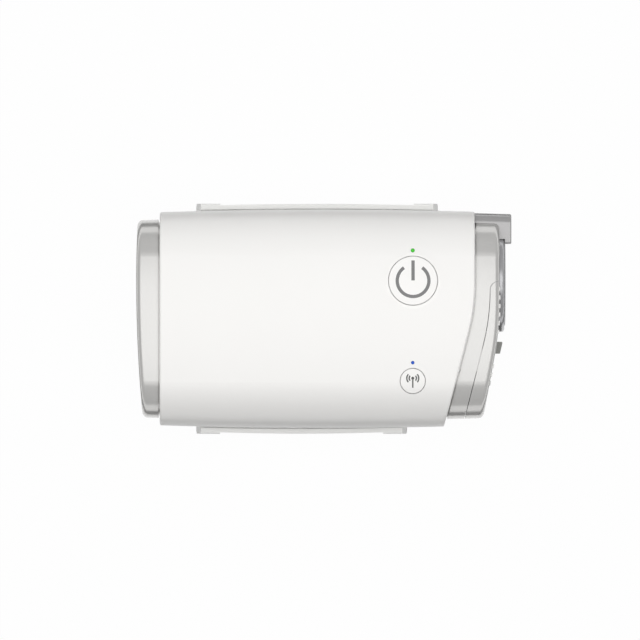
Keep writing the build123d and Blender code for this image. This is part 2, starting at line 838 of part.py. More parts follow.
def make_pressure_sensor():
    xs, ys, height = sensor_body
    middle = (sum(xs) / 2, sum(ys) / 2, board_top_z)
    return on_board(xs, ys, height) + rod(middle, *sensor_port)


def make_board_connectors():
    sockets = [on_board(*body) for body in connector_bodies]
    return Compound([fillet(socket.edges().filter_by(Axis.Z), connector_radius) for socket in sockets])


def make_board_screws():
    return Compound([
        screw((x, side * board_screw_y, board_top_z), (0, 0, -1), board_screw_length)
        for x in board_screw_x for side in (-1, 1)])


# chassis cradle

def ear_centres():
    return [(blower_x + dx, blower_y + dy) for dx, dy in ear_places]


def make_chassis_cradle():
    allowed = body_solid(-blank_reach, blank_reach, cradle_inset)
    allowed &= prism(sleeve_side(-cap_skirt - cradle_skirt_gap))
    allowed &= block((cradle_left_x, far), (-far, far), (0, far))
    trough = allowed - body_solid(-blank_reach, blank_reach, cradle_inset + cradle_wall)
    trough &= block((-far, far), (-far, far), (0, cradle_low_z))
    # end plate and two frames across the body
    plate = allowed & block((cradle_left_x, cradle_left_x + frame_thickness), (-far, far), (0, far))
    plate -= block((-far, 0), (-plate_window[0], plate_window[0]), plate_window[1:])
    cradle = trough + plate
    for x in frame_x:
        frame = allowed & block((x, x + frame_thickness), (-far, far), (0, board_bottom_z))
        cradle += frame
    boss_z = board_bottom_z - board_boss_depth
    for x in board_screw_x:
        for side in (-1, 1):
            cradle += rod((x, side * board_screw_y, boss_z), boss_radius, board_boss_depth) & allowed
    for x, y in ear_centres():
        cradle += rod((x, y, 0), ear_radius, housing_bottom_z - isolator_height) & allowed
    # bosses for the outlet cap's screws
    boss_back = frame_x[1] - frame_boss_depth
    for rise in cap_screw_rises():
        cradle += rod((boss_back, cap_screw_y, rise), boss_radius, frame_boss_depth + 1, "X") & allowed
    # passages for the duct, the air and the screws
    cradle -= outlet_rod(frame_x[0] - 1, duct_outer_radius() + foam_gap, far)
    cradle -= block((frame_x[0] - 1, far), frame_window_y, (cradle_low_z, frame_window_top_z))
    for x in board_screw_x:
        for side in (-1, 1):
            pilot_z = board_top_z - board_screw_length
            cradle -= rod((x, side * board_screw_y, pilot_z), screw_radius, far)
    for side in (-1, 1):
        for rise in screw_rises:
            cradle -= rod((cradle_left_x - 1, side * chassis_screw_y, rise), screw_radius, 5, "X")
    for rise in cap_screw_rises():
        cradle -= rod((boss_back - 1, cap_screw_y, rise), screw_radius, far, "X")
    return cradle


def make_chassis_screws():
    inner_x = cradle_left_x + frame_thickness
    return Compound([
        screw((inner_x, side * chassis_screw_y, rise), (-1, 0, 0))
        for side in (-1, 1) for rise in screw_rises])


def make_outlet_cap_screws():
    seat_x = frame_x[1] + frame_thickness + cap_screw_seat
    return Compound([screw((seat_x, cap_screw_y, rise), (-1, 0, 0)) for rise in cap_screw_rises()])


# blower

def volute_plan(grow=0.0):
    # spiral of three quarter arcs that grows towards the tangent outlet
    first = volute_radius + grow
    second, third = first + volute_step, first + 2 * volute_step
    x, y = blower_x, blower_y
    start = (x + first, y)
    bottom = (x, y - first)
    left = (x - second, y + volute_step)
    top_y = y + volute_step + third
    top = (x + volute_step, top_y)
    exit_x = volute_exit_x - volute_wall + grow
    outlet_low_y = outlet_y - blower_outlet_radius - grow
    arcs = [
        RadiusArc(start, bottom, first),
        RadiusArc(bottom, left, second),
        RadiusArc(left, top, third),
        Polyline(top, (exit_x, top_y), (exit_x, outlet_low_y), (x + first, outlet_low_y), start),
    ]
    return make_face(Curve() + arcs)


def ear_plan():
    plan = None
    for x, y in ear_centres():
        arm = SlotCenterToCenter(2 * ear_radius, 2 * ear_radius)
        angle = math.degrees(math.atan2(y - blower_y, x - blower_x))
        arm = Pos(x, y) * Rot(0, 0, angle) * (Pos(-ear_radius, 0) * arm)
        plan = arm if plan is None else plan + arm
    return plan


def make_lower_housing():
    floor_top = chamber_bottom_z
    split_z = outlet_z
    shell = extrude(Pos(0, 0, housing_bottom_z) * volute_plan(volute_wall), split_z - housing_bottom_z)
    shell += extrude(Pos(0, 0, housing_bottom_z) * ear_plan(), split_z - housing_bottom_z)
    shell -= extrude(Pos(0, 0, floor_top) * volute_plan(), far)
    tube_bottom = bearing_tube_bottom_z
    shell += rod((blower_x, blower_y, tube_bottom), bearing_tube_radius, floor_top - tube_bottom)
    shell += spigot() & block((-far, far), (-far, far), (0, split_z))
    shell -= outlet_rod(volute_exit_x - volute_wall - 1, blower_outlet_radius, far)
    shell -= rod((blower_x, blower_y, tube_bottom - 1), bearing_outer_radius, far)
    for x, y in ear_centres():
        shell -= rod((x, y, split_z - screw_length + ear_height), screw_radius, far)
    return shell


def spigot():
    return outlet_rod(volute_exit_x - 0.5, blower_outlet_radius + volute_wall, spigot_length + 0.5)


def make_upper_housing():
    split_z = outlet_z
    shell = extrude(Pos(0, 0, split_z) * volute_plan(volute_wall), housing_top_z - split_z)
    shell -= extrude(Pos(0, 0, split_z - 1) * volute_plan(), chamber_top_z - split_z + 1)
    ears = extrude(Pos(0, 0, split_z) * ear_plan(), ear_height)
    shell += ears - extrude(Pos(0, 0, split_z - 1) * volute_plan(), far)
    lip = rod((blower_x, blower_y, housing_top_z - 0.5), inlet_radius + inlet_lip, inlet_lip_height + 0.5)
    shell += lip
    shell += spigot() & block((-far, far), (-far, far), (split_z, far))
    shell -= outlet_rod(volute_exit_x - volute_wall - 1, blower_outlet_radius, far)
    shell -= rod((blower_x, blower_y, split_z), inlet_radius, far)
    for x, y in ear_centres():
        shell -= rod((x, y, split_z - 1), screw_radius, far)
    return shell


def make_blower_screws():
    seat_z = outlet_z + ear_height
    return Compound([screw((x, y, seat_z), (0, 0, -1)) for x, y in ear_centres()])


def make_blower_isolators():
    bottom = housing_bottom_z - isolator_height
    middle = isolator_height / 2
    return Compound([
        turned_z([(0, bottom), (ear_radius, bottom), (isolator_waist, bottom + middle),
                  (ear_radius, housing_bottom_z), (0, housing_bottom_z)], x, y)
        for x, y in ear_centres()])


# rotor and motor

def blade(turn):
    # one backward-leaning blade between the hub and the rim
    lean = math.radians(blade_lean)
    inner = Vector(blade_inner_radius, 0)
    reach = impeller_radius - blade_rim_inset
    outer = Vector(reach * math.cos(lean), reach * math.sin(lean))
    middle_turn = lean * blade_bow
    middle_reach = (blade_inner_radius + reach) / 2
    middle = Vector(middle_reach * math.cos(middle_turn), middle_reach * math.sin(middle_turn))
    line = ThreePointArc(inner, middle, outer)
    shape = offset(line, blade_thickness / 2, side=Side.BOTH)
    base_z = impeller_bottom_z + impeller_plate / 2
    return Pos(blower_x, blower_y, base_z) * Rot(0, 0, turn) * extrude(make_face(shape), impeller_height)


def make_impeller():
    base = impeller_bottom_z
    plate_top = base + impeller_plate
    bore = shaft_radius
    flare, flare_rise = hub_flare
    disc = turned_z([
        (bore, base), (impeller_radius, base), (impeller_radius, plate_top),
        (impeller_hub_radius + flare, plate_top), (impeller_hub_radius, plate_top + flare_rise),
        (impeller_hub_radius - hub_taper, hub_top_z), (bore, hub_top_z),
    ], blower_x, blower_y)
    for index in range(blade_count):
        disc += blade(360 * index / blade_count)
    return disc


def make_rotor_shaft():
    top = hub_top_z + shaft_proud
    shaft = rod((blower_x, blower_y, rotor_bottom_z), shaft_radius, top - rotor_bottom_z)
    return chamfer(shaft.edges().sort_by(Axis.Z)[-1:], shaft_chamfer)


def make_rotor_cup():
    bottom = rotor_bottom_z
    inner = rotor_cup_radius - rotor_cup_wall
    return turned_z([
        (shaft_radius, bottom), (rotor_cup_radius, bottom), (rotor_cup_radius, rotor_top_z),
        (inner, rotor_top_z), (inner, bottom + rotor_cup_wall), (shaft_radius, bottom + rotor_cup_wall),
    ], blower_x, blower_y)


def make_rotor_magnets():
    outer = rotor_cup_radius - rotor_cup_wall
    low = rotor_bottom_z + rotor_cup_wall
    ring = rod((blower_x, blower_y, low), outer, rotor_top_z - low)
    return ring - rod((blower_x, blower_y, low - 1), outer - magnet_thickness, far)


def stator_outer_radius():
    return rotor_cup_radius - rotor_cup_wall - magnet_thickness - air_gap


def stator_middle_z():
    return (rotor_bottom_z + rotor_cup_wall + rotor_top_z) / 2


def make_stator_core():
    outer = stator_outer_radius()
    low = stator_middle_z() - stator_height / 2
    hub_radius = bearing_tube_radius + stator_hub_wall
    core = rod((blower_x, blower_y, low), hub_radius, stator_height)
    shoe = rod((blower_x, blower_y, low), outer, stator_height)
    shoe -= rod((blower_x, blower_y, low - 1), outer - stator_shoe, far)
    half_gap = stator_shoe_gap / 2
    for index in range(stator_teeth):
        turn = 360 * (index + 0.5) / stator_teeth
        gap = block((0, far), (-half_gap, half_gap), (low - 1, low + stator_height + 1))
        shoe -= Pos(blower_x, blower_y, 0) * Rot(0, 0, turn) * gap
    core += shoe
    half = stator_tooth_width / 2
    reach = (bearing_tube_radius, outer - stator_shoe / 2)
    for index in range(stator_teeth):
        tooth = block(reach, (-half, half), (low, low + stator_height))
        core += Pos(blower_x, blower_y, 0) * Rot(0, 0, 360 * index / stator_teeth) * tooth
    return core - rod((blower_x, blower_y, low - 1), bearing_tube_radius, far)


def make_stator_windings():
    hub_gap, shoe_gap = winding_end_gap
    inner = bearing_tube_radius + stator_hub_wall + hub_gap
    outer = stator_outer_radius() - stator_shoe - shoe_gap
    low = stator_middle_z() - stator_height / 2
    half = stator_tooth_width / 2
    coils = []
    for index in range(stator_teeth):
        grown = winding_thickness
        rise = (low - grown, low + stator_height + grown)
        coil = block((inner, outer), (-half - grown, half + grown), rise)
        coil -= block((inner - 1, outer + 1), (-half, half), (low, low + stator_height))
        turned = Pos(blower_x, blower_y, 0) * Rot(0, 0, 360 * index / stator_teeth) * coil
        coils.append(turned)
    return Compound(coils)


def make_motor_bearings():
    rings = []
    for z in (bearing_tube_bottom_z + bearing_seat, chamber_bottom_z - bearing_width):
        ring = rod((blower_x, blower_y, z), bearing_outer_radius, bearing_width)
        rings.append(ring - rod((blower_x, blower_y, z - 1), shaft_radius + shaft_clearance, far))
    return Compound(rings)


# air path

def duct_outer_radius():
    return collar_tube_radius + duct_fit + duct_wall


def make_outlet_duct():
    small_inner = blower_outlet_radius + volute_wall + duct_fit
    large_inner = collar_tube_radius + duct_fit
    start = volute_exit_x + duct_start_gap
    spigot_end = volute_exit_x + spigot_length
    end = collar_tube_back_x + duct_overlap
    throat_x = collar_tube_back_x - duct_throat
    throat_radius = outlet_bore_radius - duct_shoulder
    return turned_x([
        (start, small_inner), (spigot_end + duct_fit, small_inner),
        (spigot_end + duct_fit, blower_outlet_radius), (throat_x, throat_radius),
        (collar_tube_back_x - duct_fit, throat_radius), (collar_tube_back_x - duct_fit, large_inner),
        (end, large_inner), (end, large_inner + duct_wall),
        (throat_x, large_inner + duct_wall), (spigot_end, small_inner + duct_wall),
        (start, small_inner + duct_wall),
    ], outlet_y, outlet_z)


def make_inlet_foam():
    low = frame_x[0] + frame_thickness + foam_gap
    high = frame_x[1] - foam_gap
    region = block((low, high), foam_side_y, (0, foam_top_z))
    foam = region & body_solid(-blank_reach, blank_reach, cradle_inset + cradle_wall + foam_gap)
    foam -= outlet_rod(low - 1, duct_outer_radius() + foam_gap, far)
    for rise in cap_screw_rises():
        boss_x = frame_x[1] - frame_boss_depth - foam_gap
        foam -= rod((boss_x, cap_screw_y, rise), boss_radius + foam_gap, far, "X")
    boss_z = board_bottom_z - board_boss_depth - foam_gap
    for x in board_screw_x:
        foam -= rod((x, -board_screw_y, boss_z), boss_radius + foam_gap, 10)
    return foam


pieces = {
    "outer_sleeve": make_outer_sleeve,
    "closed_end_cap": make_closed_end_cap,
    "outlet_end_cap": make_outlet_end_cap,
    "outlet_collar": make_outlet_collar,
    "outlet_seal": make_outlet_seal,
    "filter_cover": make_filter_cover,
    "filter_cover_tab": make_cover_tab,
    "air_filter": make_air_filter,
    "power_inlet_yoke": make_power_inlet_yoke,
    "power_inlet_jack": make_power_inlet_jack,
    "power_inlet_pin": make_power_inlet_pin,
    "rear_foot_rail": lambda: make_foot_rail(1),
    "front_foot_rail": lambda: make_foot_rail(-1),
    "power_button": lambda: make_button(power_button_at, power_button_radius),
    "wireless_button": lambda: make_button(wireless_button_at, wireless_button_radius),
    "power_light_guide": lambda: make_light_guide(power_light_at, power_light_radius),
    "wireless_light_guide": lambda: make_light_guide(wireless_light_at, wireless_light_radius),
    "power_switch_plunger": lambda: make_plunger(power_button_at),
    "wireless_switch_plunger": lambda: make_plunger(wireless_button_at),
    "switch_housings": make_switch_housings,
    "indicator_leds": make_indicator_leds,
    "main_circuit_board": make_circuit_board,
    "radio_module": make_radio_module,
    "board_capacitors": make_board_capacitors,
    "board_connectors": make_board_connectors,
    "pressure_sensor": make_pressure_sensor,
    "board_screws": make_board_screws,
    "chassis_cradle": make_chassis_cradle,
    "chassis_screws": make_chassis_screws,
    "outlet_cap_screws": make_outlet_cap_screws,
    "blower_lower_housing": make_lower_housing,
    "blower_upper_housing": make_upper_housing,
    "blower_screws": make_blower_screws,
    "blower_isolators": make_blower_isolators,
    "impeller": make_impeller,
    "rotor_shaft": make_rotor_shaft,
    "rotor_cup": make_rotor_cup,
    "rotor_magnets": make_rotor_magnets,
    "stator_core": make_stator_core,
    "stator_windings": make_stator_windings,
    "motor_bearings": make_motor_bearings,
    "outlet_duct": make_outlet_duct,
    "inlet_foam": make_inlet_foam,
}

for name, make in pieces.items():
    export_step(make(), f"parts/{name}.step")
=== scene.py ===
import math

import bmesh
import bpy
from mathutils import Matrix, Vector
from mathutils.bvhtree import BVHTree


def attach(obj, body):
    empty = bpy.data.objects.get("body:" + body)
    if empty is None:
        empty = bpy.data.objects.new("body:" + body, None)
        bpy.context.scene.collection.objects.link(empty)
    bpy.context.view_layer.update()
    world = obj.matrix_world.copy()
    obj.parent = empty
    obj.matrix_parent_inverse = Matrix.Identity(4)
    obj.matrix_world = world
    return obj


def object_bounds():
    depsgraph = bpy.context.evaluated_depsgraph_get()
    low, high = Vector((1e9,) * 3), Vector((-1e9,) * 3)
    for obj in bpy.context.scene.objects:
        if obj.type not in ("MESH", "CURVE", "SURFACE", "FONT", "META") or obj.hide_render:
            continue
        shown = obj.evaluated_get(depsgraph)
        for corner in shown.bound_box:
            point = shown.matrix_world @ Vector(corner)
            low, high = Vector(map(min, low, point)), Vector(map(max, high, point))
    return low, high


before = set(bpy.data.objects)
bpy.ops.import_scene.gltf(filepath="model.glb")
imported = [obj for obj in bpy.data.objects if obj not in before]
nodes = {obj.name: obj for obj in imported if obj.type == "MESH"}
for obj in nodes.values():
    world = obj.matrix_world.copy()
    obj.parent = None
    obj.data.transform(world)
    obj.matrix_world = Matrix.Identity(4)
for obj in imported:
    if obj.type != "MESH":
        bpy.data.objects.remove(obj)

mm = 0.001
scene = bpy.context.scene
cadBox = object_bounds()
print("frame loaded:", len(nodes), "nodes")


# camera: straight down onto the button face, long lens. The frame is frameWidth wide at the height focusZ
cameraSet = {"distance": 8.0, "frameWidth": 0.2310, "sensor": 36.0, "centre": (-0.00139, -0.00045),
             "focusZ": 0.027, "clip": (0.05, 20.0)}


def makeCamera(s):
    data = bpy.data.cameras.new("camera")
    data.sensor_width = s["sensor"]
    data.lens = s["sensor"] * s["distance"] / s["frameWidth"]
    data.clip_start, data.clip_end = s["clip"]
    camera = bpy.data.objects.new("camera", data)
    camera.location = (*s["centre"], s["focusZ"] + s["distance"])
    scene.collection.objects.link(camera)
    scene.camera = camera

makeCamera(cameraSet)
print("camera placed")


def linear(hexColour):
    # sRGB hex to linear RGBA
    channels = [int(hexColour[i:i + 2], 16) / 255 for i in (1, 3, 5)]
    return [c / 12.92 if c <= 0.04045 else ((c + 0.055) / 1.055) ** 2.4 for c in channels] + [1.0]


def addNode(tree, kind, settings=None, inputs=None):
    # each input goes by its socket's name or number, and is a value or another node's socket. A colour mix
    # has its two colours at 6 and 7
    node = tree.nodes.new("ShaderNode" + kind)
    for name, value in (settings or {}).items():
        setattr(node, name, value)
    for socket, value in (inputs or {}).items():
        if isinstance(value, bpy.types.NodeSocket):
            tree.links.new(value, node.inputs[socket])
        else:
            node.inputs[socket].default_value = value
    return node


def newMaterial(name):
    material = bpy.data.materials.new(name)
    material.use_nodes = True
    material.node_tree.nodes.clear()
    return material, material.node_tree


def perMetre(sizeMm):
    # texture scale that gives one feature in this many millimetres
    return 1.0 / (sizeMm * mm)


def finishShader(tree, shader, bumpHeight=None, bumpDepthMm=0.0):
    if bumpHeight is not None:
        bump = addNode(tree, "Bump", inputs={
            "Height": bumpHeight, "Distance": bumpDepthMm * mm, "Strength": 1.0})
        tree.links.new(bump.outputs["Normal"], shader.inputs["Normal"])
    addNode(tree, "OutputMaterial", inputs={"Surface": shader.outputs[0]})


# moulded ABS from a spark-eroded tool: an even satin skin, a fine grain that only shows in the highlights,
# and a faint cloudiness where the melt cooled at different rates. The grain is drawn coarser than the real
# one, which is too fine to show
def mouldedAbs(name, look):
    material, tree = newMaterial(name)
    place = addNode(tree, "TexCoord").outputs["Object"]
    cloud = addNode(tree, "TexNoise", inputs={
        "Vector": place, "Scale": perMetre(look["cloudMm"]), "Detail": 3.0})
    tint = addNode(tree, "Mix", {"data_type": "RGBA"}, {
        "Factor": cloud.outputs["Fac"], 6: linear(look["colour"]), 7: linear(look["shade"])})
    grain = addNode(tree, "TexNoise", inputs={
        "Vector": place, "Scale": perMetre(look["grainMm"]), "Detail": 4.0})
    low, high = look["roughness"]
    sheen = addNode(tree, "MapRange", inputs={"Value": grain.outputs["Fac"], "To Min": low, "To Max": high})
    shader = addNode(tree, "BsdfPrincipled", inputs={
        "Base Color": tint.outputs[2], "Roughness": sheen.outputs["Result"], "IOR": look["ior"]})
    finishShader(tree, shader, grain.outputs["Fac"], look["grainDepthMm"])
    return material


# silver paint sprayed on ABS: aluminium flakes in a grey lacquer, so it mirrors softly and turns dark at
# the sides. The flakes are drawn larger than real ones, which are too fine to show
def silverPaint(name, look):
    material, tree = newMaterial(name)
    place = addNode(tree, "TexCoord").outputs["Object"]
    flakes = addNode(tree, "TexVoronoi", inputs={"Vector": place, "Scale": perMetre(look["flakeMm"])})
    split = addNode(tree, "SeparateColor", inputs={"Color": flakes.outputs["Color"]})
    tint = addNode(tree, "Mix", {"data_type": "RGBA"}, {
        "Factor": split.outputs[0], 6: linear(look["colour"]), 7: linear(look["shade"])})
    mist = addNode(tree, "TexNoise", inputs={
        "Vector": place, "Scale": perMetre(look["mistMm"]), "Detail": 4.0})
    low, high = look["roughness"]
    sheen = addNode(tree, "MapRange", inputs={"Value": mist.outputs["Fac"], "To Min": low, "To Max": high})
    shader = addNode(tree, "BsdfPrincipled", inputs={
        "Base Color": tint.outputs[2], "Metallic": look["metallic"], "Roughness": sheen.outputs["Result"],
        "IOR": look["ior"]})
    finishShader(tree, shader, mist.outputs["Fac"], look["mistDepthMm"])
    return material


# moulded thermoplastic elastomer: matt and slightly soft to the eye, with a stippled skin
def mouldedElastomer(name, look):
    material, tree = newMaterial(name)
    place = addNode(tree, "TexCoord").outputs["Object"]
    cloud = addNode(tree, "TexNoise", inputs={
        "Vector": place, "Scale": perMetre(look["cloudMm"]), "Detail": 2.0})
    tint = addNode(tree, "Mix", {"data_type": "RGBA"}, {
        "Factor": cloud.outputs["Fac"], 6: linear(look["colour"]), 7: linear(look["shade"])})
    stipple = addNode(tree, "TexVoronoi", {"feature": "SMOOTH_F1"}, {
        "Vector": place, "Scale": perMetre(look["stippleMm"]), "Smoothness": look["softness"]})
    shader = addNode(tree, "BsdfPrincipled", inputs={
        "Base Color": tint.outputs[2], "Roughness": look["roughness"], "IOR": look["ior"],
        "Sheen Weight": look["sheen"], "Sheen Roughness": look["sheenRoughness"]})
    finishShader(tree, shader, stipple.outputs["Distance"], look["stippleDepthMm"])
    return material


# turned or drawn metal: the tool's fine marks break its mirror into soft streaks, which run round a turned
# part and along a drawn one. The magnets are coated, and their marks have no direction
def toolMarkedMetal(name, look):
    material, tree = newMaterial(name)
    place = addNode(tree, "TexCoord").outputs["Object"]
    stretched = addNode(tree, "Mapping", inputs={"Vector": place, "Scale": look["stretch"]})
    marks = addNode(tree, "TexNoise", inputs={
        "Vector": stretched.outputs["Vector"], "Scale": perMetre(look["markMm"]), "Detail": 5.0})
    tint = addNode(tree, "Mix", {"data_type": "RGBA"}, {
        "Factor": marks.outputs["Fac"], 6: linear(look["colour"]), 7: linear(look["shade"])})
    low, high = look["roughness"]
    sheen = addNode(tree, "MapRange", inputs={"Value": marks.outputs["Fac"], "To Min": low, "To Max": high})
    shader = addNode(tree, "BsdfPrincipled", inputs={
        "Base Color": tint.outputs[2], "Metallic": 1.0, "Roughness": sheen.outputs["Result"]})
    finishShader(tree, shader, marks.outputs["Fac"], look["markDepthMm"])
    return material


# open-cell foam and filter fleece: a felted or cellular surface that takes light softly
def openFibre(name, look):
    material, tree = newMaterial(name)
    place = addNode(tree, "TexCoord").outputs["Object"]
    cells = addNode(tree, "TexVoronoi", inputs={"Vector": place, "Scale": perMetre(look["cellMm"])})
    fibres = addNode(tree, "TexNoise", inputs={
        "Vector": place, "Scale": perMetre(look["fibreMm"]), "Detail": 6.0, "Distortion": look["tangle"]})
    height = addNode(tree, "Math", {"operation": "ADD"}, {
        0: cells.outputs["Distance"], 1: fibres.outputs["Fac"]})
    tint = addNode(tree, "Mix", {"data_type": "RGBA"}, {
        "Factor": fibres.outputs["Fac"], 6: linear(look["colour"]), 7: linear(look["shade"])})
    shader = addNode(tree, "BsdfPrincipled", inputs={
        "Base Color": tint.outputs[2], "Roughness": look["roughness"], "Sheen Weight": look["sheen"]})
    finishShader(tree, shader, height.outputs["Value"], look["depthMm"])
    return material


# solder mask over copper tracks: raised lines show faintly under the green. A brick texture's joints are
# the tracks, and its rows are a quarter of its unit apart
def solderMask(name, look):
    material, tree = newMaterial(name)
    place = addNode(tree, "TexCoord").outputs["Object"]
    tracks = addNode(tree, "TexBrick", {"offset": 0.37, "squash": 0.6, "squash_frequency": 3}, {
        "Vector": place, "Scale": perMetre(look["unitMm"]),
        "Mortar Size": look["trackShare"], "Mortar Smooth": look["trackSoft"],
        "Color1": linear(look["colour"]), "Color2": linear(look["shade"]), "Mortar": linear(look["track"])})
    shader = addNode(tree, "BsdfPrincipled", inputs={
        "Base Color": tracks.outputs["Color"], "Roughness": look["roughness"], "IOR": look["ior"]})
    finishShader(tree, shader, tracks.outputs["Fac"], look["trackDepthMm"])
    return material


# enamelled copper wire laid side by side, drawn coarser than the real wire
def woundCopper(name, look):
    material, tree = newMaterial(name)
    place = addNode(tree, "TexCoord").outputs["Object"]
    waveSpan = math.tau / 20  # a wave texture's own spacing at a scale of 1
    turns = addNode(tree, "TexWave", {"bands_direction": "Z"}, {
        "Vector": place, "Scale": perMetre(look["pitchMm"]) * waveSpan, "Distortion": look["waver"]})
    tint = addNode(tree, "Mix", {"data_type": "RGBA"}, {
        "Factor": turns.outputs["Fac"], 6: linear(look["shade"]), 7: linear(look["colour"])})
    shader = addNode(tree, "BsdfPrincipled", inputs={
        "Base Color": tint.outputs[2], "Metallic": 1.0, "Roughness": look["roughness"],
        "Coat Weight": look["coat"]})
    finishShader(tree, shader, turns.outputs["Fac"], look["reliefMm"])
    return material


# a light guide's frosted tip: it glows more in its middle than at its rim
def litWindow(name, look):
    material, tree = newMaterial(name)
    place = addNode(tree, "TexCoord").outputs["Object"]
    x, y = look["at"]
    moved = addNode(tree, "Mapping", {"vector_type": "POINT"}, {
        "Vector": place, "Location": (-x * mm, -y * mm, 0.0)})
    split = addNode(tree, "SeparateXYZ", inputs={"Vector": moved.outputs["Vector"]})
    flat = addNode(tree, "CombineXYZ", inputs={"X": split.outputs["X"], "Y": split.outputs["Y"]})
    reach = addNode(tree, "VectorMath", {"operation": "LENGTH"}, {0: flat.outputs["Vector"]})
    glow = addNode(tree, "MapRange", inputs={
        "Value": reach.outputs["Value"], "From Min": 0.0, "From Max": look["radiusMm"] * mm,
        "To Min": 1.0, "To Max": look["rim"]})
    tint = addNode(tree, "Mix", {"data_type": "RGBA"}, {
        "Factor": glow.outputs["Result"], 6: linear(look["shade"]), 7: linear(look["colour"])})
    shader = addNode(tree, "BsdfPrincipled", inputs={
        "Base Color": tint.outputs[2], "Emission Color": tint.outputs[2],
        "Emission Strength": look["strength"], "Roughness": look["roughness"]})
    finishShader(tree, shader)
    return material


whiteAbsLook = {
    "colour": "#f0efed", "shade": "#edecea", "cloudMm": 30.0, "grainMm": 0.35, "grainDepthMm": 0.004,
    "roughness": (0.31, 0.38), "ior": 1.52}
buttonAbsLook = {
    "colour": "#f2f1ef", "shade": "#efeeec", "cloudMm": 12.0, "grainMm": 0.3, "grainDepthMm": 0.002,
    "roughness": (0.34, 0.4), "ior": 1.5}
paleSilverLook = {
    "colour": "#d7d6d4", "shade": "#d3d2d0", "flakeMm": 0.12, "mistMm": 2.5, "mistDepthMm": 0.0004,
    "roughness": (0.18, 0.22), "metallic": 0.55, "ior": 1.5}
midSilverLook = {
    "colour": "#b1b0b0", "shade": "#adacac", "flakeMm": 0.12, "mistMm": 2.0, "mistDepthMm": 0.0004,
    "roughness": (0.15, 0.19), "metallic": 0.5, "ior": 1.5}
darkSilverLook = {
    "colour": "#c0c0c2", "shade": "#bcbcbe", "flakeMm": 0.12, "mistMm": 2.0, "mistDepthMm": 0.0004,
    "roughness": (0.15, 0.19), "metallic": 0.65, "ior": 1.5}
tabLook = {
    "colour": "#8f8f8b", "shade": "#898985", "cloudMm": 6.0, "grainMm": 0.2, "grainDepthMm": 0.002,
    "roughness": (0.3, 0.4), "ior": 1.5}
blackAbsLook = {
    "colour": "#232325", "shade": "#1c1c1e", "cloudMm": 8.0, "grainMm": 0.25, "grainDepthMm": 0.004,
    "roughness": (0.4, 0.5), "ior": 1.5}
nylonLook = {
    "colour": "#e4e2da", "shade": "#dcdad0", "cloudMm": 10.0, "grainMm": 0.3, "grainDepthMm": 0.003,
    "roughness": (0.35, 0.45), "ior": 1.53}
inkLook = {
    "colour": "#7d7d7d", "shade": "#797979", "cloudMm": 3.0, "grainMm": 0.12, "grainDepthMm": 0.002,
    "roughness": (0.5, 0.6), "ior": 1.5}
darkInkLook = dict(inkLook, colour="#5a5a5a", shade="#565656")
railLook = {
    "colour": "#fafaf8", "shade": "#f7f7f5", "cloudMm": 15.0, "stippleMm": 0.4, "stippleDepthMm": 0.01,
    "roughness": 0.42, "ior": 1.5, "softness": 0.6, "sheen": 0.1, "sheenRoughness": 0.5}
siliconeLook = {
    "colour": "#2a2a2c", "shade": "#242426", "cloudMm": 6.0, "stippleMm": 0.3, "stippleDepthMm": 0.006,
    "roughness": 0.55, "ior": 1.5, "softness": 0.6, "sheen": 0.2, "sheenRoughness": 0.5}
steelLook = {
    "colour": "#b9babc", "shade": "#9c9da0", "markMm": 0.6, "markDepthMm": 0.004,
    "roughness": (0.25, 0.42), "stretch": (1.0, 1.0, 8.0)}
nickelLook = {
    "colour": "#cfcac2", "shade": "#c2bcb2", "markMm": 0.3, "markDepthMm": 0.001,
    "roughness": (0.12, 0.2), "stretch": (0.2, 1.0, 1.0)}
magnetLook = {
    "colour": "#6b6c70", "shade": "#5a5b60", "markMm": 0.5, "markDepthMm": 0.003,
    "roughness": (0.35, 0.5), "stretch": (1.0, 1.0, 1.0)}
foamLook = {
    "colour": "#3a3a3d", "shade": "#2c2c2f", "cellMm": 0.9, "fibreMm": 0.4, "depthMm": 0.25, "tangle": 1.5,
    "roughness": 0.95, "sheen": 0.3}
fleeceLook = {
    "colour": "#ecebe6", "shade": "#dcdad3", "cellMm": 0.8, "fibreMm": 0.5, "depthMm": 0.12, "tangle": 1.5,
    "roughness": 0.95, "sheen": 0.3}
boardLook = {
    "colour": "#1c5a34", "shade": "#195330", "track": "#2a7a46", "unitMm": 2.4, "trackShare": 0.05,
    "trackSoft": 0.2, "trackDepthMm": 0.03, "roughness": 0.35, "ior": 1.5}
copperLook = {
    "colour": "#c0652f", "shade": "#8a431c", "pitchMm": 0.7854, "reliefMm": 0.16, "waver": 0.3,
    "roughness": 0.3, "coat": 0.5}
greenLightLook = {
    "colour": "#4fc340", "shade": "#3aa52c", "at": (32.0, 24.6), "radiusMm": 0.7, "rim": 0.2,
    "strength": 0.12, "roughness": 0.3}
blueLightLook = {
    "colour": "#1a58c4", "shade": "#0d3f9c", "at": (32.0, -15.8), "radiusMm": 0.6, "rim": 0.2,
    "strength": 0.12, "roughness": 0.3}

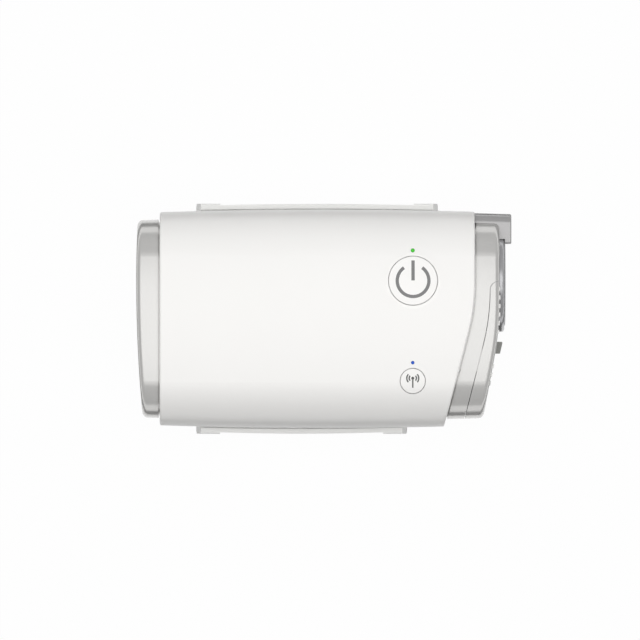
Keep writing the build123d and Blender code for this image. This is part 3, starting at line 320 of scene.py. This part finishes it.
whiteAbs = mouldedAbs("satin white ABS", whiteAbsLook)
buttonAbs = mouldedAbs("button white ABS", buttonAbsLook)
paleSilver = silverPaint("pale silver paint", paleSilverLook)
midSilver = silverPaint("mid silver paint", midSilverLook)
darkSilver = silverPaint("dark silver paint", darkSilverLook)
tabAbs = mouldedAbs("warm grey ABS", tabLook)
blackAbs = mouldedAbs("black ABS", blackAbsLook)
naturalNylon = mouldedAbs("natural nylon", nylonLook)
greyInk = mouldedAbs("grey pad-print ink", inkLook)
darkInk = mouldedAbs("dark grey pad-print ink", darkInkLook)
paleElastomer = mouldedElastomer("pale grey elastomer", railLook)
blackSilicone = mouldedElastomer("black silicone", siliconeLook)
platedSteel = toolMarkedMetal("plated steel", steelLook)
nickelPlate = toolMarkedMetal("nickel-plated brass", nickelLook)
magnetIron = toolMarkedMetal("coated magnet iron", magnetLook)
acousticFoam = openFibre("open-cell acoustic foam", foamLook)
filterFleece = openFibre("filter fleece", fleeceLook)
boardLaminate = solderMask("green solder mask", boardLook)
windingCopper = woundCopper("enamelled copper wire", copperLook)
greenWindow = litWindow("green light window", greenLightLook)
blueWindow = litWindow("blue light window", blueLightLook)
print("materials made:", len(bpy.data.materials))


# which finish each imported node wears
finishes = [
    (whiteAbs, ["outer_sleeve"]),
    (buttonAbs, ["power_button", "wireless_button"]),
    (paleSilver, ["closed_end_cap", "outlet_end_cap", "filter_cover"]),
    (midSilver, ["power_inlet_yoke"]),
    (darkSilver, ["outlet_collar"]),
    (tabAbs, ["filter_cover_tab"]),
    (paleElastomer, ["rear_foot_rail", "front_foot_rail"]),
    (blackSilicone, ["outlet_seal", "outlet_duct", "blower_isolators"]),
    (filterFleece, ["air_filter"]),
    (acousticFoam, ["inlet_foam"]),
    (greenWindow, ["power_light_guide"]),
    (blueWindow, ["wireless_light_guide"]),
    (blackAbs, ["power_inlet_jack", "power_switch_plunger", "wireless_switch_plunger", "switch_housings",
                "pressure_sensor", "blower_lower_housing", "blower_upper_housing"]),
    (naturalNylon, ["impeller", "board_connectors", "indicator_leds", "chassis_cradle"]),
    (platedSteel, ["radio_module", "board_capacitors", "board_screws", "chassis_screws",
                   "outlet_cap_screws", "blower_screws", "rotor_shaft", "rotor_cup", "stator_core",
                   "motor_bearings"]),
    (nickelPlate, ["power_inlet_pin"]),
    (magnetIron, ["rotor_magnets"]),
    (boardLaminate, ["main_circuit_board"]),
    (windingCopper, ["stator_windings"]),
]
for material, names in finishes:
    for name in names:
        slots = nodes[name].data.materials
        slots.clear()
        slots.append(material)
print("finishes given to", sum(len(names) for _, names in finishes), "nodes")


# pad-printed marks, laid onto the button under them
def surfaceUnder(name):
    graph = bpy.context.evaluated_depsgraph_get()
    return BVHTree.FromObject(nodes[name], graph)


def layOnto(bm, tree, liftMm, inkMm):
    # drops a flat mark onto the surface below it and gives it its thickness of ink
    down = Vector((0, 0, -1))
    above = cadBox[1][2] * 2  # clear of the whole object
    for vertex in bm.verts:
        hit = tree.ray_cast(Vector((vertex.co.x, vertex.co.y, above)), down)[0]
        vertex.co.z = hit.z + (liftMm + inkMm) * mm
    bottom = bmesh.ops.extrude_face_region(bm, geom=bm.faces[:])["geom"]
    moved = [item for item in bottom if isinstance(item, bmesh.types.BMVert)]
    bmesh.ops.translate(bm, verts=moved, vec=(0, 0, -inkMm * mm))


def newObject(name, bm, material):
    mesh = bpy.data.meshes.new(name)
    bm.to_mesh(mesh)
    bm.free()
    mesh.materials.append(material)
    made = bpy.data.objects.new(name, mesh)
    scene.collection.objects.link(made)
    return made


def addPiece(name, bm, material, body):
    bmesh.ops.recalc_face_normals(bm, faces=bm.faces)
    piece = newObject(name, bm, material)
    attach(piece, body)


def addArc(bm, centre, radius, stroke, startDegrees, turnDegrees, steps):
    # a flat band round a centre, in millimetres
    start = math.radians(startDegrees)
    direction = Vector((math.cos(start), math.sin(start), 0))
    middle = Vector((*centre, 0)) * mm
    across = [radius + stroke * share for share in (-0.5, 0.0, 0.5)]
    row = [bm.verts.new(middle + direction * reach * mm) for reach in across]
    edges = [bm.edges.new(pair) for pair in zip(row, row[1:])]
    bmesh.ops.spin(bm, geom=row + edges, cent=middle, axis=(0, 0, 1), angle=math.radians(turnDegrees),
                   steps=steps, use_duplicate=False)


def addBar(bm, centre, width, length, steps):
    # a flat upright bar, in millimetres
    made = bmesh.ops.create_grid(bm, x_segments=2, y_segments=steps, size=0.5)["verts"]
    bmesh.ops.scale(bm, vec=(width * mm, length * mm, 1), verts=made)
    bmesh.ops.translate(bm, vec=Vector((*centre, 0)) * mm, verts=made)


powerMark = {"centre": (32.1, 13.7), "arcRadius": 5.7, "stroke": 1.18, "gapDegrees": 35, "arcSteps": 72,
             "barWidth": 1.2, "barReach": (0.1, 7.3), "barSteps": 12, "liftMm": 0.004, "inkMm": 0.02}


def makePowerMark(s):
    bm = bmesh.new()
    gap = s["gapDegrees"]
    addArc(bm, s["centre"], s["arcRadius"], s["stroke"], 90 + gap, 360 - 2 * gap, s["arcSteps"])
    low, high = s["barReach"]
    x, y = s["centre"]
    addBar(bm, (x, y + (low + high) / 2), s["barWidth"], high - low, s["barSteps"])
    layOnto(bm, surfaceUnder("power_button"), s["liftMm"], s["inkMm"])
    addPiece("power_mark", bm, greyInk, "power_button")

makePowerMark(powerMark)

waveMark = {"centre": (32.0, -22.1), "dotRise": 0.7, "dotRadius": 0.55, "dotSteps": 24, "stroke": 0.5,
            "arcRadii": (1.3, 2.15), "spanDegrees": 84, "arcSteps": 16, "stemLength": 2.9, "stemSteps": 6,
            "liftMm": 0.004, "inkMm": 0.02}


def makeWaveMark(s):
    # a mast with waves on both sides
    bm = bmesh.new()
    x, y = s["centre"]
    top = (x, y + s["dotRise"])
    made = bmesh.ops.create_circle(bm, cap_ends=True, segments=s["dotSteps"], radius=s["dotRadius"] * mm)
    bmesh.ops.translate(bm, vec=Vector((*top, 0)) * mm, verts=made["verts"])
    stemTop = top[1] - s["dotRadius"]
    addBar(bm, (x, stemTop - s["stemLength"] / 2), s["stroke"], s["stemLength"], s["stemSteps"])
    span = s["spanDegrees"]
    for radius in s["arcRadii"]:
        for side in (0, 180):
            addArc(bm, top, radius, s["stroke"], side - span / 2, span, s["arcSteps"])
    layOnto(bm, surfaceUnder("wireless_button"), s["liftMm"], s["inkMm"])
    addPiece("wireless_mark", bm, darkInk, "wireless_button")

makeWaveMark(waveMark)
print("marks printed on the buttons")


# stage: a near-white floor, a large overhead softbox, a weak fill from behind and a plain surround
stageSet = {"floorSize": 6.0, "floorColour": "#d6d6d6", "floorShade": "#d3d3d3", "floorShow": 0.975,
            "mottleMm": 25.0, "worldColour": "#ffffff", "worldLevel": 0.15, "worldGloss": 0.4}

# four dark boards round the machine, just above the floor. Only gloss shows them, as dark lines along
# the caps
cardLook = {"colour": "#686868", "shade": "#626262", "napMm": 0.6, "riseMm": 1.0}
cardSet = [
    {"name": "front card", "xMm": (-96, 96), "yMm": (-112, -66)},
    {"name": "rear card", "xMm": (-96, 96), "yMm": (66, 112)},
    {"name": "left card", "xMm": (-142, -96), "yMm": (-112, 112)},
    {"name": "right card", "xMm": (96, 142), "yMm": (-112, 112)},
]


def keepToGloss(piece):
    piece.visible_camera = False
    piece.visible_diffuse = False
    piece.visible_shadow = False


def makeCards(cards, look):
    material, tree = newMaterial("dark grey velvet board")
    place = addNode(tree, "TexCoord").outputs["Object"]
    nap = addNode(tree, "TexNoise", inputs={"Vector": place, "Scale": perMetre(look["napMm"])})
    tint = addNode(tree, "Mix", {"data_type": "RGBA"}, {
        "Factor": nap.outputs["Fac"], 6: linear(look["colour"]), 7: linear(look["shade"])})
    finishShader(tree, addNode(tree, "BsdfDiffuse", inputs={"Color": tint.outputs[2]}))
    for s in cards:
        bm = bmesh.new()
        (left, right), (front, back) = s["xMm"], s["yMm"]
        made = bmesh.ops.create_grid(bm, x_segments=1, y_segments=1, size=0.5)["verts"]
        middle = Vector(((left + right) / 2, (front + back) / 2, look["riseMm"])) * mm
        bmesh.ops.scale(bm, vec=((right - left) * mm, (back - front) * mm, 1), verts=made)
        bmesh.ops.translate(bm, vec=middle, verts=made)
        card = newObject(s["name"], bm, material)
        keepToGloss(card)


def makeFloor(s):
    # near white where the camera, gloss or glass sees it, with a trace of the shadow, and pale grey paper
    # for the light that it throws back
    material, tree = newMaterial("white paper sweep")
    place = addNode(tree, "TexCoord").outputs["Object"]
    mottle = addNode(tree, "TexNoise", inputs={"Vector": place, "Scale": perMetre(s["mottleMm"])})
    tint = addNode(tree, "Mix", {"data_type": "RGBA"}, {
        "Factor": mottle.outputs["Fac"], 6: linear(s["floorColour"]), 7: linear(s["floorShade"])})
    paper = addNode(tree, "BsdfDiffuse", inputs={"Color": tint.outputs[2]})
    white = addNode(tree, "Emission", inputs={"Color": linear("#ffffff"), "Strength": 1.0})
    rays = addNode(tree, "LightPath").outputs
    seen = addNode(tree, "Math", {"operation": "MAXIMUM"}, {
        0: rays["Is Camera Ray"], 1: rays["Is Glossy Ray"]})
    seenToo = addNode(tree, "Math", {"operation": "MAXIMUM"}, {
        0: seen.outputs[0], 1: rays["Is Transmission Ray"]})
    share = addNode(tree, "Math", {"operation": "MULTIPLY"}, {0: seenToo.outputs[0], 1: s["floorShow"]})
    finishShader(tree, addNode(tree, "MixShader", inputs={
        0: share.outputs[0], 1: paper.outputs[0], 2: white.outputs[0]}))
    bm = bmesh.new()
    bmesh.ops.create_grid(bm, x_segments=4, y_segments=4, size=s["floorSize"] / 2)
    floor = newObject("floor", bm, material)


def makeWorld(s):
    world = bpy.data.worlds.new("surround")
    world.use_nodes = True
    tree = world.node_tree
    tree.nodes.clear()
    rays = addNode(tree, "LightPath").outputs
    lit = addNode(tree, "Mix", inputs={0: rays["Is Glossy Ray"], 2: s["worldLevel"], 3: s["worldGloss"]})
    shown = addNode(tree, "Mix", inputs={0: rays["Is Camera Ray"], 2: lit.outputs[0], 3: 1.0})
    background = addNode(tree, "Background", inputs={
        "Color": linear(s["worldColour"]), "Strength": shown.outputs[0]})
    addNode(tree, "OutputWorld", inputs={"Surface": background.outputs[0]})
    scene.world = world

overheadSet = {"name": "overhead softbox", "at": (0.0, -0.03, 1.1), "aim": (0, 0, 0.03),
               "size": (1.2, 0.74), "watts": 11.0}
rearFillSet = {"name": "rear fill", "at": (0.0, 1.0, 0.7), "aim": (0, 0, 0.03), "size": (1.6, 0.7),
               "watts": 3.7}


def makeLamp(s):
    data = bpy.data.lights.new(s["name"], "AREA")
    data.shape = "RECTANGLE"
    data.size, data.size_y = s["size"]
    data.energy = s["watts"]
    lamp = bpy.data.objects.new(s["name"], data)
    lamp.location = s["at"]
    lamp.rotation_euler = (Vector(s["aim"]) - Vector(s["at"])).to_track_quat("-Z", "Y").to_euler()
    lamp.visible_camera = False
    lamp.visible_glossy = False
    scene.collection.objects.link(lamp)
    return lamp

# the overhead lamp's front, which only gloss shows. At this level a silver part looks as its colour is
# written. Between the two fade distances, front and back of the middle, it falls to the edge level
panelSet = {"name": "overhead softbox front", "size": (1.6, 1.4), "level": 1.26, "edgeLevel": 0.4,
            "fade": (0.22, 0.66), "colour": "#ffffff", "shade": "#fdfdfd", "cloudMm": 33.33}


def makePanel(s, lamp):
    material, tree = newMaterial("lit diffuser cloth")
    place = addNode(tree, "TexCoord").outputs["Object"]
    cloud = addNode(tree, "TexNoise", inputs={"Vector": place, "Scale": perMetre(s["cloudMm"])})
    tint = addNode(tree, "Mix", {"data_type": "RGBA"}, {
        "Factor": cloud.outputs["Fac"], 6: linear(s["colour"]), 7: linear(s["shade"])})
    split = addNode(tree, "SeparateXYZ", inputs={"Vector": place})
    across = addNode(tree, "Math", {"operation": "SUBTRACT"}, {0: split.outputs["Y"], 1: lamp.location.y})
    away = addNode(tree, "Math", {"operation": "ABSOLUTE"}, {0: across.outputs[0]})
    near, far = s["fade"]
    fade = addNode(tree, "MapRange", {"interpolation_type": "SMOOTHSTEP"}, {
        "Value": away.outputs[0], "From Min": near, "From Max": far,
        "To Min": s["level"], "To Max": s["edgeLevel"]})
    finishShader(tree, addNode(tree, "Emission", inputs={
        "Color": tint.outputs[2], "Strength": fade.outputs[0]}))
    bm = bmesh.new()
    made = bmesh.ops.create_grid(bm, x_segments=1, y_segments=1, size=0.5)["verts"]
    bmesh.ops.scale(bm, vec=(*s["size"], 1), verts=made)
    bmesh.ops.rotate(bm, cent=(0, 0, 0), matrix=lamp.rotation_euler.to_matrix(), verts=made)
    bmesh.ops.translate(bm, vec=lamp.location, verts=made)
    panel = newObject(s["name"], bm, material)
    keepToGloss(panel)

makeFloor(stageSet)
makeCards(cardSet, cardLook)
makeWorld(stageSet)
makePanel(panelSet, makeLamp(overheadSet))
makeLamp(rearFillSet)
scene.view_settings.view_transform = "Standard"
print("stage lit")
